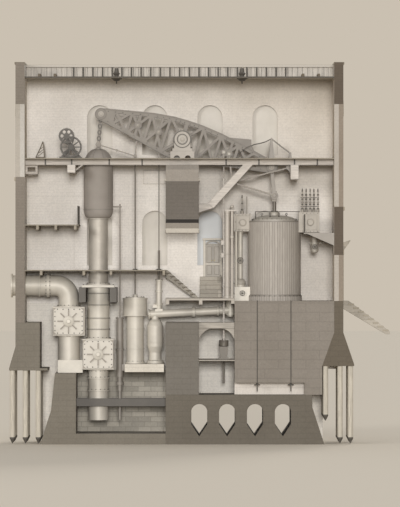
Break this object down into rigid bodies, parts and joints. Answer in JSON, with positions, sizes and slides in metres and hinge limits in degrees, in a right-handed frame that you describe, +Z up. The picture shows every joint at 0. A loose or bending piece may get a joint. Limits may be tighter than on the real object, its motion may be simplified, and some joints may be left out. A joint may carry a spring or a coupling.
{
  "type": "beam pumping engine in its sectioned engine house",
  "caption": "House-built beam pumping engine shown in section: rocking lattice beam between a steam cylinder and a plunger pump, on its foundations.",
  "frame": {"origin": "underside of the foundation, directly below the main gudgeon, on the centre plane of the engine", "axes": "+X from the gudgeon towards the steam cylinder, +Y away from the open side of the house, +Z up"},
  "size_m": [20.858, 6.11, 20.868],
  "materials": {
    "foundation_masonry": "rough",
    "house_masonry": "rough",
    "timber": "sawn",
    "cast_iron": "painted",
    "bright_iron": "bright",
    "lagging": "varnished",
    "glass": "clear",
    "roofing": "dull",
    "steps": "rough"
  },
  "bodies": {
    "house": {"foundation_raft": "foundation_masonry", "culvert_raft": "foundation_masonry", "back_footing": "foundation_masonry", "west_footing": "foundation_masonry", "east_footing": "foundation_masonry", "cylinder_plinth": "foundation_masonry", "lever_wall_base": "foundation_masonry", "pump_bed": "foundation_masonry", "back_wall_lower": "house_masonry", "back_wall_upper": "house_masonry", "west_wall": "house_masonry", "east_wall": "house_masonry", "lever_wall_head": "house_masonry", "footing_piles": "timber", "ceiling": "timber", "spring_beams": "timber", "timber_floors": "timber", "driving_floor": "timber", "gudgeon_pedestals": "cast_iron", "stay_frames": "cast_iron", "winch": "cast_iron", "valve_chests": "cast_iron", "exhaust_valve_box": "cast_iron", "condenser": "cast_iron", "air_pump": "cast_iron", "feed_pump": "cast_iron", "cold_water_pump": "cast_iron", "pump_barrel": "cast_iron", "pump_girders": "cast_iron", "suction_valve_chest": "cast_iron", "delivery_valve_chest": "cast_iron", "delivery_bend": "cast_iron", "eduction_pipe": "cast_iron", "cylinder_cover": "cast_iron", "cylinder_gallery": "cast_iron", "hand_rails": "cast_iron", "valve_gear": "bright_iron", "steam_cylinder": "lagging", "window_panes": "glass", "roof_shell": "roofing", "stairs": "steps"},
    "beam": {"beam": "cast_iron", "beam_pins": "bright_iron"},
    "piston": {"piston_rod": "bright_iron"},
    "piston_link": {"piston_link": "bright_iron"},
    "back_link": {"back_link": "bright_iron"},
    "parallel_bars": {"parallel_bars": "bright_iron"},
    "radius_rods": {"radius_rods": "bright_iron"},
    "plunger": {"plunger": "bright_iron", "weight_case": "cast_iron"},
    "pump_link": {"pump_link": "bright_iron"},
    "air_link": {"air_pump_link": "bright_iron"},
    "air_bars": {"pump_side_bars": "bright_iron"},
    "air_rod": {"air_pump_rod": "bright_iron"},
    "feed_link": {"feed_pump_link": "bright_iron"},
    "feed_rod": {"feed_pump_rod": "bright_iron"},
    "plug_link": {"plug_link": "bright_iron"},
    "plug_rod": {"plug_rod": "timber"}
  },
  "joints": [
    {"name": "beam_rock", "type": "hinge", "parent": "house", "child": "beam", "pos_m": [0, 0, 16.699], "axis": [0, -1, 0], "range_deg": [0, 34.56]},
    {"name": "piston_stroke", "type": "slide", "parent": "house", "child": "piston", "axis": [0, 0, 1], "range_m": [0, 3.048]},
    {"name": "plunger_stroke", "type": "slide", "parent": "house", "child": "plunger", "axis": [0, 0, -1], "range_m": [0, 2.781]},
    {"name": "piston_link_swing", "type": "hinge", "parent": "beam", "child": "piston_link", "pos_m": [4.89846, 0, 15.17518], "axis": [0, -1, 0], "range_deg": [-34.6, 0]},
    {"name": "back_link_swing", "type": "hinge", "parent": "beam", "child": "back_link", "pos_m": [2.56763, 0, 15.90026], "axis": [0, -1, 0], "range_deg": [-34.6, 0]},
    {"name": "parallel_bar_swing", "type": "hinge", "parent": "back_link", "child": "parallel_bars", "pos_m": [2.72913, 0, 14.34026], "axis": [0, -1, 0], "range_deg": [0, 34.6]},
    {"name": "radius_rod_swing", "type": "hinge", "parent": "house", "child": "radius_rods", "pos_m": [5.83, 0, 15.139], "axis": [0, 1, 0], "range_deg": [0, 28.95]},
    {"name": "pump_link_swing", "type": "hinge", "parent": "beam", "child": "pump_link", "pos_m": [-4.46877, 0, 18.08915], "axis": [0, -1, 0], "range_deg": [-34.6, 0]},
    {"name": "air_link_swing", "type": "hinge", "parent": "beam", "child": "air_link", "pos_m": [-2.44445, 0, 17.45943], "axis": [0, -1, 0], "range_deg": [-34.6, 0]},
    {"name": "air_bar_swing", "type": "hinge", "parent": "air_link", "child": "air_bars", "pos_m": [-2.59545, 0, 15.79043], "axis": [0, -1, 0], "range_deg": [0, 34.6]},
    {"name": "air_rod_stroke", "type": "slide", "parent": "house", "child": "air_rod", "axis": [0, 0, -1], "range_m": [0, 1.52135]},
    {"name": "feed_link_swing", "type": "hinge", "parent": "beam", "child": "feed_link", "pos_m": [-1.28811, 0, 17.09971], "axis": [0, -1, 0], "range_deg": [-34.6, 0]},
    {"name": "feed_rod_stroke", "type": "slide", "parent": "house", "child": "feed_rod", "axis": [0, 0, -1], "range_m": [0, 0.802]},
    {"name": "plug_link_swing", "type": "hinge", "parent": "beam", "child": "plug_link", "pos_m": [2.27544, 0, 15.99115], "axis": [0, -1, 0], "range_deg": [-34.6, 0]},
    {"name": "plug_rod_stroke", "type": "slide", "parent": "house", "child": "plug_rod", "axis": [0, 0, 1], "range_m": [0, 1.4162]}
  ],
  "couplings": [
    {"joint": "piston_stroke", "follows": "beam_rock", "m_per_rad": 5.0526},
    {"joint": "plunger_stroke", "follows": "beam_rock", "m_per_rad": 4.6094},
    {"joint": "piston_link_swing", "follows": "beam_rock", "ratio": -1},
    {"joint": "back_link_swing", "follows": "beam_rock", "ratio": -1},
    {"joint": "parallel_bar_swing", "follows": "beam_rock", "ratio": 1},
    {"joint": "radius_rod_swing", "follows": "beam_rock", "ratio": 0.83592},
    {"joint": "pump_link_swing", "follows": "beam_rock", "ratio": -1},
    {"joint": "air_link_swing", "follows": "beam_rock", "ratio": -1},
    {"joint": "air_bar_swing", "follows": "beam_rock", "ratio": 1},
    {"joint": "air_rod_stroke", "follows": "beam_rock", "m_per_rad": 2.5214},
    {"joint": "feed_link_swing", "follows": "beam_rock", "ratio": -1},
    {"joint": "feed_rod_stroke", "follows": "beam_rock", "m_per_rad": 1.3286},
    {"joint": "plug_link_swing", "follows": "beam_rock", "ratio": -1},
    {"joint": "plug_rod_stroke", "follows": "beam_rock", "m_per_rad": 2.347}
  ]
}
